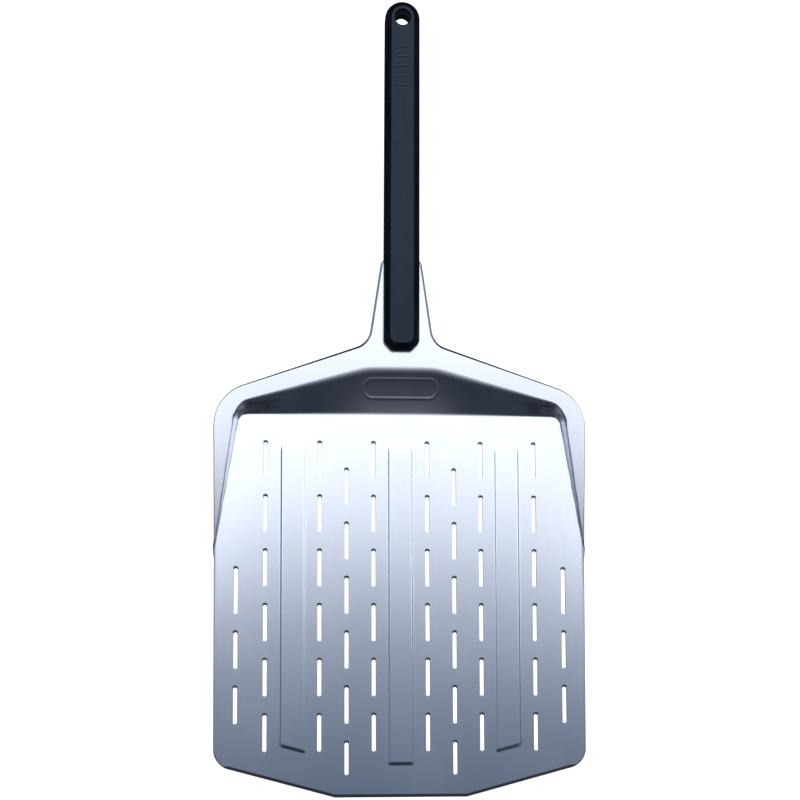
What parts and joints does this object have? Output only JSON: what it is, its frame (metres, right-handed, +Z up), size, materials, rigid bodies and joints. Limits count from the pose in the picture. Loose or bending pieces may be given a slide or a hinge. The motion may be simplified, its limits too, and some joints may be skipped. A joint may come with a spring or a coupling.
{
  "type": "pizza peel",
  "caption": "Pizza peel: a flat slotted aluminium blade with raised ribs, a sloping riser and rim, and a long bevelled plastic handle with a round hanging hole.",
  "frame": {"origin": "middle of the bottom of the whole peel as it lies on its flat underside", "axes": "+Y runs from the front edge of the blade to the tip of the handle, +Z is up on the side that carries the food, +X is to the right"},
  "size_m": [0.3538, 0.747, 0.0592],
  "materials": {
    "sheet": "satin anodised, fine even grain",
    "grip": "glass-filled nylon, fine matt texture",
    "screw": "plain stainless steel",
    "insert": "plain turned brass"
  },
  "bodies": {
    "root": {"blade": "sheet", "handle_front": "grip", "handle_back": "grip", "clamp_screw_1": "screw", "clamp_screw_2": "screw", "clamp_screw_3": "screw", "clamp_screw_4": "screw", "clamp_screw_5": "screw", "threaded_insert_1": "insert", "threaded_insert_2": "insert", "threaded_insert_3": "insert", "threaded_insert_4": "insert", "threaded_insert_5": "insert"}
  },
  "joints": []
}
